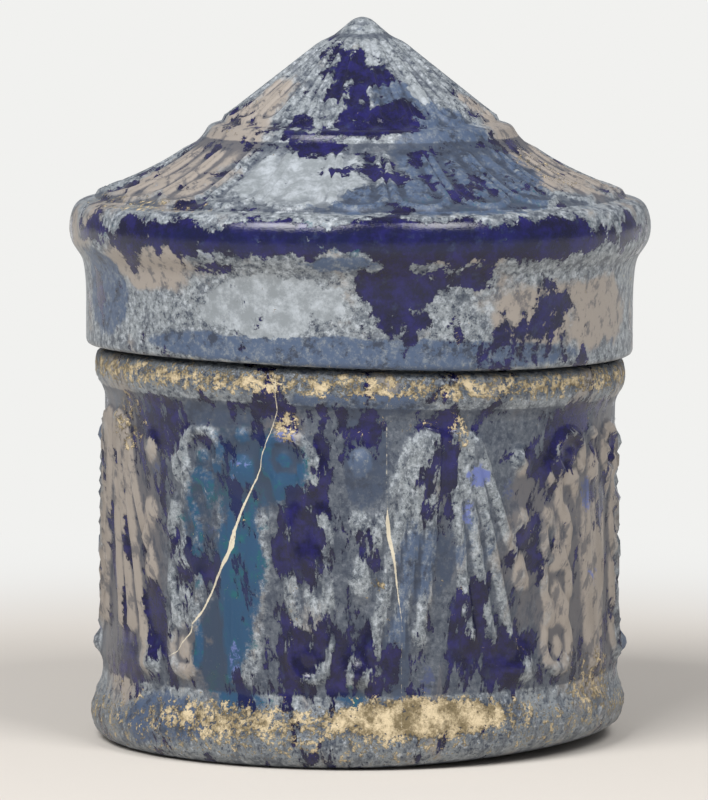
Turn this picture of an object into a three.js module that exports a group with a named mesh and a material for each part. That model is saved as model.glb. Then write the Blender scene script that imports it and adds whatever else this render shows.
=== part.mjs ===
// Mould-blown glass pyxis in two pieces: a round box with a frieze of palmettes, and a conical lid
// that sits over the box's collar and lifts straight off.
// Lengths are in millimetres and +Z is up. The origin is the centre of the base, level with the
// surface that the box stands on. Angles are in degrees around +Z, counted from the front (-Y)
// and positive towards +X, the right-hand side.

import * as THREE from "three";

// Box, from its base up
const wallRadius = 27.0;
const wallThickness = 1.7;
const baseHollow = 1.3; // the middle of the base is pushed up by this much
const floorThickness = 2.0;
const standingRing = 5.8; // width of the flat ring that the box stands on
const footFlare = 1.6; // the foot stands this far outside the wall
const footUndercut = 1.5; // the standing ring's edge lies this far inside the foot's widest line
const footWidestHeight = 2.75;
const footTop = 7.6; // the foot has run into the wall at this height
const friezeHeight = 29.2;
const shoulderHeight = 3.9;
const shoulderSwell = 1.0; // the round shoulder stands this far outside the wall
const seatWidth = 1.3; // flat ring on the shoulder, which carries the lid
const collarInset = 0.8; // the collar stands this far inside the wall
const collarThickness = 1.7;
const collarHeight = 6.8;
const floorCornerRadius = 3.0;

// Lid, from its edge up
const seatClearance = 0.3;
const collarClearance = 0.9; // radial play between the collar and the skirt
const lidThickness = 1.7;
const skirtHeight = 7.8;
const edgeRounding = 0.55;
const coveHeight = 2.4;
const coveStep = 0.5; // the cove carries the skirt out by this much to meet the bead
const beadProud = 1.8; // the bead stands this far outside the skirt
const beadHeight = 5.6;
const beadInset = 0.1; // the bead's centre line lies this far outside the skirt
const beadHollow = 1.5; // the inside swells out by this much behind the bead
const grooveDepth = 0.35;
const grooveWidth = 0.8;
const lowerConeRise = 6.5;
const lowerConeSag = 0.9; // the lower slope is drawn in by this much at its middle
const ledgeRadius = 14.4;
const ledgeWidth = 2.0;
const ledgeHeight = 1.2;
const upperConeRise = 11.15;
const tipRadius = 2.9;
const innerTipRadius = 1.2;

// Uneven handwork: the seat of the lid isn't level, and the foot lifts off the surface at one place
const seatDrop = 0.5; // the seat lies this much lower at its right-hand edge, and higher at its left
const seatCrest = 0.45; // it also rises by this much in one stretch
const seatCrestAngle = -35;
const seatCrestSpread = 80;
const footLift = 1.25;
const footLiftAngle = 65;
const footLiftSpread = 75;
const footShift = -0.35; // the foot is this far off centre, along X
const tipShift = 0.25; // the lid's tip is this far off centre, along X

// Relief, pressed in by the mould
const friezeRelief = 0.42;
const tongueRelief = 0.3;
const palmettePairs = 4; // hanging and spreading palmettes alternate
const hangingAxis = -26.3; // angle of the hanging palmette nearest the front
const tongues = 24;
const tongueAxis = -0.5;

// Fineness of the solids
const stepsAround = 96;
const friezeRows = 14;
const lowerConeRows = 7;
const upperConeRows = 6;

// Sizes that follow from the ones above
const footRadius = wallRadius + footFlare;
const standingRadius = footRadius - footUndercut;
const shoulderBottom = footTop + friezeHeight;
const seatHeight = shoulderBottom + shoulderHeight;
const collarRadius = wallRadius - collarInset;
const collarBore = collarRadius - collarThickness;
const boxBore = wallRadius - wallThickness;
const rimHeight = seatHeight + collarHeight;
const lidEdge = seatHeight + seatClearance;
const skirtBore = collarRadius + collarClearance;
const skirtRadius = skirtBore + lidThickness;
const skirtTop = lidEdge + skirtHeight;
const beadBottom = skirtTop + coveHeight;
const beadTop = beadBottom + beadHeight;
const beadAxisRadius = skirtRadius + beadInset;
const ledgeOuterRadius = ledgeRadius + ledgeWidth;
const ledgeBottom = beadTop + grooveDepth + lowerConeRise;
const ledgeTop = ledgeBottom + ledgeHeight;
const tipHeight = ledgeTop + upperConeRise;

const radians = THREE.MathUtils.degToRad;
const clamp = THREE.MathUtils.clamp;
const mix = THREE.MathUtils.lerp;

/** A smooth swelling: 1 in the middle, 0 from a distance of 1 outwards. */
function swell(distance) {
  const reach = Math.min(Math.abs(distance), 1);
  return 0.5 + 0.5 * Math.cos(Math.PI * reach);
}

/** A rounded mass in the relief, given by its centre and half sizes. */
function mass(across, up, { centre, middle, halfWidth, halfHeight }) {
  return swell(Math.hypot((across - centre) / halfWidth, (up - middle) / halfHeight));
}

// Masses of the hanging palmette, on its right half. Across is counted from its axis in half widths of
// the motif, up from the foot in heights of the frieze.
const hangingMasses = [
  { centre: 0, middle: 0.76, halfWidth: 0.22, halfHeight: 0.16 }, // bud
  { centre: 0.37, middle: 0.8, halfWidth: 0.27, halfHeight: 0.14 }, // volute
  { centre: 0.69, middle: 0.76, halfWidth: 0.19, halfHeight: 0.1 }, // curl at the volute's end
  { centre: 0.69, middle: 0.59, halfWidth: 0.24, halfHeight: 0.13 }, // three lobes of the side leaf
  { centre: 0.69, middle: 0.38, halfWidth: 0.24, halfHeight: 0.14 },
  { centre: 0.69, middle: 0.15, halfWidth: 0.24, halfHeight: 0.14 },
];

// Beads and a leaf tip at the outer edge of the spreading palmette, counted in the same way
const edgeBeads = [
  { centre: 0.83, middle: 0.81, halfWidth: 0.2, halfHeight: 0.09 },
  { centre: 0.83, middle: 0.6, halfWidth: 0.2, halfHeight: 0.09 },
  { centre: 0.83, middle: 0.4, halfWidth: 0.2, halfHeight: 0.09 },
];
const edgeTip = { centre: 0.83, middle: 0.065, halfWidth: 0.34, halfHeight: 0.1 };
const edgeTipRelief = 1.7; // the tip stands out more than the rest, by this ratio
const stemTop = { up: 0.66, halfWidth: 0.52 };
const stemFoot = { up: 0.0, halfWidth: 0.2 };

/** Hanging palmette: volutes and a bud above a stem that narrows to the foot, with leaves beside it. */
function hangingPalmette(across, up) {
  const along = clamp((up - stemFoot.up) / (stemTop.up - stemFoot.up), 0, 1);
  const stem = up < stemTop.up ? swell(across / mix(stemFoot.halfWidth, stemTop.halfWidth, along)) : 0;
  const masses = hangingMasses.map((piece) => mass(Math.abs(across), up, piece));
  return Math.max(0.8 * stem, ...masses);
}

const fanTop = { up: 0.92, centre: 0.1, halfWidth: 0.16 };
const fanFoot = { up: 0.2, centre: 0.42, halfWidth: 0.46 };
const fanEndHeight = 0.12;

/** Spreading palmette: two sheaves of leaves that fan out downwards to rounded tips. */
function spreadingPalmette(across, up) {
  const down = clamp((fanTop.up - up) / (fanTop.up - fanFoot.up), 0, 1);
  const centre = mix(fanTop.centre, fanFoot.centre, down);
  const halfWidth = mix(fanTop.halfWidth, fanFoot.halfWidth, down);
  const pastEnd = Math.max(up - fanTop.up, fanFoot.up - up, 0) / fanEndHeight;
  const leaves = swell(Math.hypot((Math.abs(across) - centre) / halfWidth, pastEnd));
  const beads = edgeBeads.map((piece) => mass(Math.abs(across), up, piece));
  return Math.max(leaves, edgeTipRelief * mass(Math.abs(across), up, edgeTip), ...beads);
}

/** How far an angle is from the nearest axis of a pattern that repeats at a given pitch. */
function offAxis(axis, angle, pitch) {
  return THREE.MathUtils.euclideanModulo(angle - axis + pitch / 2, pitch) - pitch / 2;
}

/** Height of the frieze's relief above the wall. */
function friezeHeightAt(angle, up) {
  const pitch = 360 / palmettePairs;
  const halfMotif = pitch / 4;
  const fromHanging = offAxis(hangingAxis, angle, pitch);
  if (Math.abs(fromHanging) <= halfMotif) {
    return friezeRelief * hangingPalmette(fromHanging / halfMotif, up);
  }
  const fromSpreading = fromHanging - Math.sign(fromHanging) * 2 * halfMotif;
  return friezeRelief * spreadingPalmette(fromSpreading / halfMotif, up);
}

/** Height of the lid's tongues, where along runs from 0 at the inner end to 1 at the rounded outer end. */
function tongueHeightAt(angle, along) {
  const pitch = 360 / tongues;
  const across = offAxis(tongueAxis, angle, pitch) / pitch;
  const nearEnd = clamp((along - 0.75) / 0.25, 0, 1);
  const rise = clamp(along / 0.3, 0, 1);
  return tongueRelief * rise * swell(Math.hypot(2 * across, nearEnd));
}

/** One ring of the outline. The shares say how far it follows the uneven seat, foot and tip. */
function ring(radius, height, shares = {}) {
  return { radius, height, seatShare: 0, footShare: 0, tipShare: 0, relief: null, ...shares };
}

/** Height of the uneven seat above its mean level, at the skirt's radius. */
function seatUnevenness(angle) {
  const slope = -seatDrop * Math.sin(radians(angle));
  return slope + seatCrest * swell(offAxis(seatCrestAngle, angle, 360) / seatCrestSpread);
}

/** Rings on an elliptical arc, from one angle to another, counted from +X towards +Z. */
function arc(centreRadius, centreHeight, across, up, from, to, count, shares) {
  return Array.from({ length: count }, (_, index) => {
    const turn = radians(mix(from, to, count === 1 ? 0 : index / (count - 1)));
    return ring(centreRadius + across * Math.cos(turn), centreHeight + up * Math.sin(turn), shares);
  });
}

/** Turns an outline into a solid whose rings follow the relief, the uneven seat, the foot and the tip. */
function turnedSolid(outline, startAngle) {
  const points = outline.map(({ radius, height }) => new THREE.Vector2(radius, height));
  const geometry = new THREE.LatheGeometry(points, stepsAround, radians(startAngle));
  geometry.rotateX(Math.PI / 2);
  const position = geometry.attributes.position;
  for (let index = 0; index < position.count; index += 1) {
    const place = index % outline.length;
    const step = Math.floor(index / outline.length) % stepsAround;
    const angle = startAngle + (360 * step) / stepsAround;
    const { radius, height, seatShare, footShare, tipShare, relief } = outline[place];
    let outward = radius;
    let up = height;
    if (relief) {
      const before = outline[place - 1];
      const after = outline[place + 1];
      const slope = new THREE.Vector2(before.height - after.height, after.radius - before.radius).normalize();
      const side = slope.dot(new THREE.Vector2(1, 1)) > 0 ? 1 : -1;
      outward += side * slope.x * relief(angle);
      up += side * slope.y * relief(angle);
    }
    const turn = radians(angle);
    const sideways = footShare * footShift + tipShare * tipShift;
    up += footShare * footLift * swell(offAxis(footLiftAngle, angle, 360) / footLiftSpread);
    up += (seatShare * seatUnevenness(angle) * outward) / skirtRadius;
    position.setXYZ(index, outward * Math.sin(turn) + sideways, -outward * Math.cos(turn), up);
  }
  return geometry;
}

/** The box's rings, from the middle of the base round the outside and back to the middle of the floor. */
function boxOutline() {
  const hollowRadius = standingRadius - standingRing;
  const hollow = (radius) => baseHollow * (1 - (radius / hollowRadius) ** 2);
  const seatOuter = collarRadius + seatWidth;
  const collarMiddle = collarRadius - collarThickness / 2;
  const neckHeight = collarRadius - boxBore + wallThickness;
  const floorEdge = boxBore - floorCornerRadius;
  const wallShare = (height) => clamp((height - footTop) / friezeHeight, 0, 1);

  const base = [ring(0, baseHollow), ring(hollowRadius / 2, hollow(hollowRadius / 2)), ring(hollowRadius, 0)];
  const foot = [
    ring(standingRadius, 0, { footShare: 1 }),
    ...arc(standingRadius, footWidestHeight, footUndercut, footWidestHeight, -50, 0, 2, { footShare: 0.9 }),
    ring(footRadius - footFlare / 6, mix(footWidestHeight, footTop, 0.3), { footShare: 0.5 }),
    ring(wallRadius + footFlare / 4, mix(footWidestHeight, footTop, 0.68), { footShare: 0.2 }),
  ];
  const frieze = Array.from({ length: friezeRows + 1 }, (_, index) => {
    const up = index / friezeRows;
    const height = footTop + up * friezeHeight;
    const relief = index === 0 || index === friezeRows ? null : (angle) => friezeHeightAt(angle, up);
    return ring(wallRadius, height, { seatShare: wallShare(height), relief });
  });
  const shoulderMiddle = shoulderBottom + shoulderHeight / 2;
  const shoulder = [
    ...arc(wallRadius, shoulderMiddle, shoulderSwell, shoulderHeight / 2, -50, 50, 4, { seatShare: 1 }),
    ring(seatOuter, seatHeight, { seatShare: 1 }),
    ring(collarRadius, seatHeight, { seatShare: 1 }),
  ];
  const rimRounding = collarThickness / 2;
  const rimCentre = rimHeight - rimRounding;
  const collar = arc(collarMiddle, rimCentre, rimRounding, rimRounding, 0, 180, 4, { seatShare: 1 });
  const inside = [
    ring(collarBore, seatHeight, { seatShare: 1 }),
    ring(boxBore, seatHeight - neckHeight, { seatShare: 1 }),
    ...arc(floorEdge, floorThickness + floorCornerRadius, floorCornerRadius, floorCornerRadius, 0, -90, 4),
    ring(0, floorThickness + baseHollow),
  ];
  return [...base, ...foot, ...frieze, ...shoulder, ...collar, ...inside];
}

/** The lid's rings, from the tip down the outside, round the edge and back up to the tip inside. */
function lidOutline() {
  const tipCentre = tipHeight - tipRadius;
  const fromTip = Math.hypot(ledgeRadius, ledgeTop - tipCentre);
  const towardsLedge = Math.atan2(ledgeRadius, ledgeTop - tipCentre);
  const tipTurn = towardsLedge - Math.acos(tipRadius / fromTip); // slope of the upper cone
  const tipEnd = { radius: tipRadius * Math.sin(tipTurn), height: tipCentre + tipRadius * Math.cos(tipTurn) };

  const tipShare = (height) => clamp((height - ledgeTop) / upperConeRise, 0, 1);
  const tip = [
    ring(0, tipHeight, { tipShare: 1 }),
    ring(tipRadius * Math.sin(tipTurn / 2), tipCentre + tipRadius * Math.cos(tipTurn / 2), { tipShare: 1 }),
    ring(tipEnd.radius, tipEnd.height, { tipShare: tipShare(tipEnd.height) }),
  ];
  const upperCone = Array.from({ length: upperConeRows }, (_, index) => {
    const along = (index + 1) / upperConeRows;
    const height = mix(tipEnd.height, ledgeTop, along);
    const relief = index === upperConeRows - 1 ? null : (angle) => tongueHeightAt(angle, along);
    return ring(mix(tipEnd.radius, ledgeRadius, along), height, { relief, tipShare: tipShare(height) });
  });
  const ledge = [
    ring(ledgeRadius + ledgeWidth / 2, ledgeTop - ledgeHeight / 8),
    ring(ledgeRadius + ledgeWidth * 0.87, ledgeTop - ledgeHeight / 2),
  ];
  const coneFoot = { radius: beadAxisRadius - grooveWidth, height: beadTop + grooveDepth };
  const lowerCone = Array.from({ length: lowerConeRows + 1 }, (_, index) => {
    const along = index / lowerConeRows;
    const sag = lowerConeSag * (1 - (2 * along - 1) ** 2);
    const relief = index === 0 || index === lowerConeRows ? null : (angle) => tongueHeightAt(angle, along);
    return ring(
      mix(ledgeOuterRadius, coneFoot.radius, along),
      mix(ledgeBottom, coneFoot.height, along) - sag,
      { relief },
    );
  });
  const beadMiddle = beadBottom + beadHeight / 2;
  const beadReach = beadProud - beadInset;
  const bead = [
    ring(beadAxisRadius - grooveWidth / 2, beadTop - grooveDepth / 2),
    ...arc(beadAxisRadius, beadMiddle, beadReach, beadHeight / 2, 75, -62, 6),
    ring(skirtRadius + coveStep / 2, skirtTop + coveHeight / 2),
  ];
  const edgeShare = { seatShare: 1 };
  const skirt = [
    ring(skirtRadius, skirtTop),
    ring(skirtRadius, lidEdge + edgeRounding, edgeShare),
    ring(skirtRadius - edgeRounding, lidEdge, edgeShare),
    ring(skirtBore + edgeRounding, lidEdge, edgeShare),
    ring(skirtBore, lidEdge + edgeRounding, edgeShare),
  ];
  const coneShift = lidThickness / Math.cos(Math.atan2(lowerConeRise, coneFoot.radius - ledgeOuterRadius));
  const ledgeInside = ledgeTop - lidThickness / Math.cos(tipTurn);
  const innerTipCentre = tipCentre + (tipRadius - lidThickness - innerTipRadius) / Math.cos(tipTurn);
  const innerTipStart = innerTipCentre + innerTipRadius * Math.cos(tipTurn);
  const inside = [
    ring(skirtBore, skirtTop),
    ring(skirtBore + beadHollow * 0.8, beadMiddle - beadHeight / 4),
    ring(skirtBore + beadHollow, beadMiddle),
    ring(coneFoot.radius - lidThickness / 2, coneFoot.height - coneShift),
    ring(
      (coneFoot.radius + ledgeOuterRadius) / 2,
      (coneFoot.height + ledgeBottom) / 2 - lowerConeSag - coneShift,
    ),
    ring(ledgeRadius, ledgeInside),
    ring(innerTipRadius * Math.sin(tipTurn), innerTipStart, { tipShare: 1 }),
    ring(0, innerTipCentre + innerTipRadius, { tipShare: 1 }),
  ];
  return [...tip, ...upperCone, ...ledge, ...lowerCone, ...bead, ...skirt, ...inside];
}

const boxGlass = new THREE.MeshStandardMaterial({ color: 0x5c6684, roughness: 0.5, metalness: 0.0 });
const lidGlass = new THREE.MeshStandardMaterial({ color: 0x596480, roughness: 0.4, metalness: 0.0 });

const box = new THREE.Mesh(turnedSolid(boxOutline(), hangingAxis), boxGlass);
box.name = "box";

const lid = new THREE.Mesh(turnedSolid(lidOutline().reverse(), tongueAxis), lidGlass);
lid.name = "lid";

const pyxis = new THREE.Group();
pyxis.add(box, lid);

export default pyxis;
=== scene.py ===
# %% [markdown]
# # A weathered cobalt glass pyxis
# The object is a small round box of mould-blown glass with a conical lid. Two thousand years in the
# ground have covered it with thin films of weathering that flake off in ragged patches, so most of
# its look is in the finish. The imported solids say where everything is, and they are loaded first.

import math

import bpy
import numpy as np
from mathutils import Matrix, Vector, noise


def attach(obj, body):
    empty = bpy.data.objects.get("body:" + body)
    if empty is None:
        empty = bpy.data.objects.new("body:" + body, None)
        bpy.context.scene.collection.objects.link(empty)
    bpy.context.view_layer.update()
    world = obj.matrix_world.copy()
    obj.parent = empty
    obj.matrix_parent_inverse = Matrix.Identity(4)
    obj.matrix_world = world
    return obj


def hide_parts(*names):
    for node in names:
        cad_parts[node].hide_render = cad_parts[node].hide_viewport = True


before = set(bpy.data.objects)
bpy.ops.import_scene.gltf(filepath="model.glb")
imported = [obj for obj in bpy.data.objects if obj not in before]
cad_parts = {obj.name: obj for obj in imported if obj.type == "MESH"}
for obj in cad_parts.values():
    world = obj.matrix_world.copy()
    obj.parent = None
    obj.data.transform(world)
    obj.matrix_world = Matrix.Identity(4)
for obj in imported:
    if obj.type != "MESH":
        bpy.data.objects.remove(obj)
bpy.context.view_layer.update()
MM = 0.001

# %% [markdown]
# ## Sizes
# The glass has the outline of the solids, with more points. Lengths are in millimetres. Angles are
# in degrees from the front, positive towards the right-hand side. One value is given for each size
# that more than one step needs, so that a change is made in one place.

# %% Driving sizes
WALL_RADIUS = 27.0
BOX_BORE = 25.3
HOLLOW_RADIUS = 21.3  # the base is pushed up inside this radius
STANDING_RADIUS = 27.1
FOOT_TOP = 7.6
SHOULDER_BOTTOM = 36.8
SEAT_HEIGHT = 40.7
COLLAR_RADIUS = 26.2
COLLAR_BORE = 24.5
RIM_HEIGHT = 47.5
LID_EDGE = 41.0
EDGE_ROUNDING = 0.55
SKIRT_BORE = 27.1
SKIRT_RADIUS = 28.8
SKIRT_TOP = 48.8
LEDGE_TOP = 64.85
TIP_HEIGHT = 76.0
print("height", TIP_HEIGHT, "mm, wall", 2 * WALL_RADIUS, "mm across")

# %% [markdown]
# ## Uneven handwork
# Glass that was blown and finished by hand is never true. The seat of the lid drops to the right and
# has a crest, the foot lifts off the table at one place and is off centre, and so is the tip. The
# skirt's edge follows the seat. A swelling made of a cosine serves for this and for the relief.

# %% Unevenness
SEAT_DROP = 0.5
SEAT_CREST = 0.45
SEAT_CREST_ANGLE = -35
SEAT_CREST_SPREAD = 80
FOOT_LIFT = 1.25
FOOT_LIFT_ANGLE = 65
FOOT_LIFT_SPREAD = 75
FOOT_SHIFT = -0.35
TIP_SHIFT = 0.25


def swell(distance):
    """A smooth swelling: 1 in the middle, 0 from a distance of 1 outwards."""
    return 0.5 + 0.5 * np.cos(np.pi * np.clip(np.abs(distance), 0, 1))


def off_axis(axis, angle, pitch=360):
    """How far an angle is from the nearest axis of a pattern that repeats at a pitch."""
    return np.mod(angle - axis + pitch / 2, pitch) - pitch / 2


def seat_unevenness(angle):
    """Height of the uneven seat above its mean level."""
    crest = SEAT_CREST * swell(off_axis(SEAT_CREST_ANGLE, angle) / SEAT_CREST_SPREAD)
    return -SEAT_DROP * np.sin(np.radians(angle)) + crest


print("the seat is", round(float(seat_unevenness(-90.0)), 2), "mm high at its left-hand edge")

# %% [markdown]
# ## The outlines
# Each outline is a list of corners with their radius, height and rounding, as a turner would draw a
# profile. The inside is a list of its own, because it needs fewer points. The ends stop just short
# of the axis, and the two small holes are filled after the spin.

# %% Corners of the box
AXIS_HOLE = 0.15
BOX_OUTSIDE = [
    (AXIS_HOLE, 1.3, 0),  # middle of the base, pushed up
    (12, 0.95, 4),
    (HOLLOW_RADIUS, 0.0, 1.5),
    (27.3, 0.0, 1.2),  # edge of the standing ring
    (28.75, 2.75, 2.4),  # widest line of the foot
    (27.2, 6.6, 2.2),
    (WALL_RADIUS, 8.2, 1.0),
    (WALL_RADIUS, 36.6, 0.9),
    (28.0, 37.6, 1.0),  # round shoulder
    (28.05, 39.8, 1.0),
    (27.4, SEAT_HEIGHT, 0.5),
    (COLLAR_RADIUS, SEAT_HEIGHT, 0.25),
    (COLLAR_RADIUS, RIM_HEIGHT, 0.8),
    (COLLAR_BORE, RIM_HEIGHT, 0.8),
    (COLLAR_BORE, 40.9, 1.2),
    (BOX_BORE, 37.6, 1.6),
]
BOX_INSIDE = [(BOX_BORE, 37.6, 0), (BOX_BORE, 2.2, 3.4), (17.0, 2.2, 3.0), (AXIS_HOLE, 3.3, 0)]
print("corners of the box:", len(BOX_OUTSIDE) + len(BOX_INSIDE))

# %% [markdown]
# The lid has one wall from tip to edge: a cone in two zones with a ledge between them, a groove, a
# round bead, a cove and the skirt.

# %% Corners of the lid
LID_OUTSIDE = [
    (AXIS_HOLE, TIP_HEIGHT, 0),
    (0.9, 75.85, 0.5),
    (2.3, 74.6, 1.4),
    (14.6, 64.95, 0.8),  # foot of the upper cone
    (15.9, 64.8, 0.5),
    (16.5, 63.6, 0.6),  # ledge
    (18.6, 61.6, 2.0),
    (22.3, 59.5, 3.0),
    (25.6, 58.1, 2.0),
    (27.7, 57.35, 0.5),  # foot of the lower cone
    (28.1, 57.0, 0.3),
    (28.7, 57.0, 0.3),
    (30.0, 56.6, 0.9),  # bead
    (30.75, 54.6, 1.8),
    (30.5, 52.3, 1.5),
    (29.2, 51.0, 0.8),  # cove
    (28.95, 49.4, 0.8),
    (SKIRT_RADIUS, 47.5, 0.8),
    (SKIRT_RADIUS, LID_EDGE, EDGE_ROUNDING),
    (SKIRT_BORE, LID_EDGE, EDGE_ROUNDING),
]
LID_INSIDE = [
    (SKIRT_BORE, LID_EDGE, EDGE_ROUNDING),
    (SKIRT_BORE, 49.4, 1.5),
    (28.5, 53.4, 1.6),  # hollow behind the bead
    (27.0, 55.3, 1.2),
    (22.1, 57.5, 3.0),
    (15.0, 62.2, 1.5),
    (1.4, 73.0, 1.0),
    (AXIS_HOLE, 73.3, 0),
]
print("corners of the lid:", len(LID_OUTSIDE) + len(LID_INSIDE))

# %% [markdown]
# ## From corners to a smooth line
# A rounding is three points on a small curve between the two sides of its corner, and the straight
# stretches are cut into steps of about 1 mm, because the relief needs points to move.

# %% Rounding the corners
FINE_STEP = 0.95
COARSE_STEP = 4.0
SHORTEST_STEP = 0.25  # as a share of the step, or of 1 mm if that is less


def rounded(corners, spacing):
    """Points along a line through the corners, each rounded off by its own radius (third value)."""
    points = []
    for index, (radius, height, rounding) in enumerate(corners):
        here = np.array([radius, height])
        if rounding == 0 or index in (0, len(corners) - 1):
            points.append(here)
            continue
        before = np.array(corners[index - 1][:2]) - here
        after = np.array(corners[index + 1][:2]) - here
        start = here + before / np.linalg.norm(before) * min(rounding, np.linalg.norm(before) / 2)
        end = here + after / np.linalg.norm(after) * min(rounding, np.linalg.norm(after) / 2)
        for share in (0, 0.5, 1):
            points.append((1 - share) ** 2 * start + 2 * share * (1 - share) * here + share**2 * end)
    line = [points[0]]
    for point in points[1:]:
        length = np.linalg.norm(point - line[-1])
        if length < min(spacing, 1.0) * SHORTEST_STEP:
            continue
        steps = max(1, round(length / spacing))
        line.extend(line[-1] + (point - line[-1]) * step / steps for step in range(1, steps + 1))
    return np.array(line)


def outline(outside, inside):
    """The whole outline, fine where it shows and coarser inside."""
    inner = rounded(inside, COARSE_STEP)
    outer = rounded(outside, FINE_STEP)
    start = np.argmin(np.linalg.norm(inner - outer[-1], axis=1))
    return np.vstack([outer, inner[start + 1 :]])


box_line = outline(BOX_OUTSIDE, BOX_INSIDE)
lid_line = outline(LID_OUTSIDE, LID_INSIDE)
print("outline points:", len(box_line), "for the box and", len(lid_line), "for the lid")

# %% [markdown]
# ## Turning the glass
# Blown glass could be sculpted from a sphere, but a vessel made in a round mould is closest to a
# turned one. A plane is merged to a single point, the point is extruded along the outline, and the
# line is spun round the axis. A Subdivision Surface modifier then halves the steps, which is much
# quicker than a finer spin. The holes at the axis are filled last, because the modifier is very slow
# on a face with hundreds of sides.

# %% Spinning an outline
STEPS_AROUND = 180
SAME_POINT = 0.002 * MM


def extrude_outline(line):
    """In edit mode, turns the selected plane into one point and extrudes it along the outline."""
    bpy.ops.mesh.select_all(action="SELECT")
    bpy.ops.mesh.merge(type="CENTER")
    places = [(0, -radius * MM, height * MM) for radius, height in line]
    bpy.ops.transform.translate(value=places[0])
    for before, after in zip(places, places[1:]):
        step = tuple(b - a for a, b in zip(before, after))
        bpy.ops.mesh.extrude_vertices_move(TRANSFORM_OT_translate={"value": step})


def spin_glass(name, line):
    """Spins an outline round the axis into a closed piece of glass."""
    bpy.ops.object.select_all(action="DESELECT")
    bpy.ops.mesh.primitive_plane_add(size=MM)
    piece = bpy.context.object
    piece.name = name
    bpy.ops.object.mode_set(mode="EDIT")
    extrude_outline(line)
    bpy.ops.mesh.select_all(action="SELECT")
    bpy.ops.mesh.spin(steps=STEPS_AROUND, angle=math.tau, center=(0, 0, 0), axis=(0, 0, 1))
    bpy.ops.mesh.select_all(action="SELECT")
    bpy.ops.mesh.remove_doubles(threshold=SAME_POINT)
    bpy.ops.mesh.select_all(action="SELECT")
    bpy.ops.mesh.normals_make_consistent(inside=False)
    bpy.ops.object.mode_set(mode="OBJECT")
    finer = piece.modifiers.new("finer", "SUBSURF")
    finer.levels = 1
    finer.render_levels = 1
    bpy.ops.object.modifier_apply(modifier=finer.name)
    bpy.ops.object.mode_set(mode="EDIT")
    bpy.ops.mesh.select_all(action="SELECT")
    bpy.ops.mesh.fill_holes(sides=0)
    bpy.ops.mesh.select_all(action="SELECT")
    bpy.ops.mesh.normals_make_consistent(inside=False)
    bpy.ops.object.mode_set(mode="OBJECT")
    bpy.ops.object.shade_smooth()
    print(name, "has", len(piece.data.vertices), "points")
    return piece


glass_box = spin_glass("glass_box", box_line)
glass_lid = spin_glass("glass_lid", lid_line)

# %% [markdown]
# The relief and the unevenness are moves of the points, as in sculpting. They are easiest to write
# as radius, angle and height, so two helpers read the points that way and put them back.


# %% Reading and writing the points
def read_points(piece):
    """The points of a piece in millimetres, as radius, angle in degrees and height."""
    place = np.empty(len(piece.data.vertices) * 3)
    piece.data.vertices.foreach_get("co", place)
    place = place.reshape(-1, 3) / MM
    radius = np.hypot(place[:, 0], place[:, 1])
    angle = np.degrees(np.arctan2(place[:, 0], -place[:, 1]))
    return radius, angle, place[:, 2]


def write_points(piece, radius, angle, height, sideways):
    """Puts the points of a piece back at their new radius and height."""
    turn = np.radians(angle)
    place = np.stack([radius * np.sin(turn) + sideways, -radius * np.cos(turn), height], axis=1) * MM
    piece.data.vertices.foreach_set("co", place.astype(np.float32).ravel())
    piece.data.update()


print("points of the wall lie about", round(math.tau * WALL_RADIUS / STEPS_AROUND / 2, 2), "mm apart")

# %% [markdown]
# ## The relief of the wall
# The mould pressed a frieze of eight palmettes into the wall: four that hang from volutes, and four
# that spread downwards as a fan. A sculptor would brush them on. Here each part of the pattern is a
# small dome, oval line or ridge in millimetres, and the wall moves outwards by the highest of them.


# %% Parts of the pattern
def dome(across, up, centre, middle, half_width, half_height):
    """A rounded mass, 1 at its middle."""
    return swell(np.hypot((across - centre) / half_width, (up - middle) / half_height))


def loop(across, up, centre, middle, half_width, half_height, line):
    """A raised oval line of the given half width."""
    size = np.hypot((across - centre) / half_width, (up - middle) / half_height)
    return swell((size - 1) * np.minimum(half_width, half_height) / line)


def ridge(across, up, corners, line):
    """A raised line of the given half width through the corners."""
    nearest = np.full(across.shape, np.inf)
    for (x0, y0), (x1, y1) in zip(corners, corners[1:]):
        along = ((across - x0) * (x1 - x0) + (up - y0) * (y1 - y0)) / ((x1 - x0) ** 2 + (y1 - y0) ** 2)
        along = np.clip(along, 0, 1)
        away = np.hypot(across - x0 - along * (x1 - x0), up - y0 - along * (y1 - y0))
        nearest = np.minimum(nearest, away)
    return swell(nearest / line)


# %% [markdown]
# The hanging palmette is symmetrical, so most of its parts are given for the right half only and
# read the distance from its axis. Its stem is a bundle of flutes that narrows towards the foot.

# %% The hanging palmette
STEM_FOOT = 7.0
STEM_LENGTH = 19.5
LEAF_LOBES = [(23.6, 2.6), (18.2, 2.9), (12.2, 3.0)]  # middle and half height of each
LEAF_AXIS = 7.2


def fluted_stem(side, up):
    """The stem, with flutes that draw together towards the foot."""
    narrowing = np.clip((up - STEM_FOOT) / STEM_LENGTH, 0, 1)
    half_width = 2.0 + 2.6 * narrowing
    flutes = 0.5 + 0.5 * np.cos(2 * np.pi * side / (0.55 + 0.75 * narrowing))
    return (0.45 + 0.5 * flutes) * swell((side / half_width) ** 2.5) * swell((up - 16) / 13.0) ** 0.4


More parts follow.
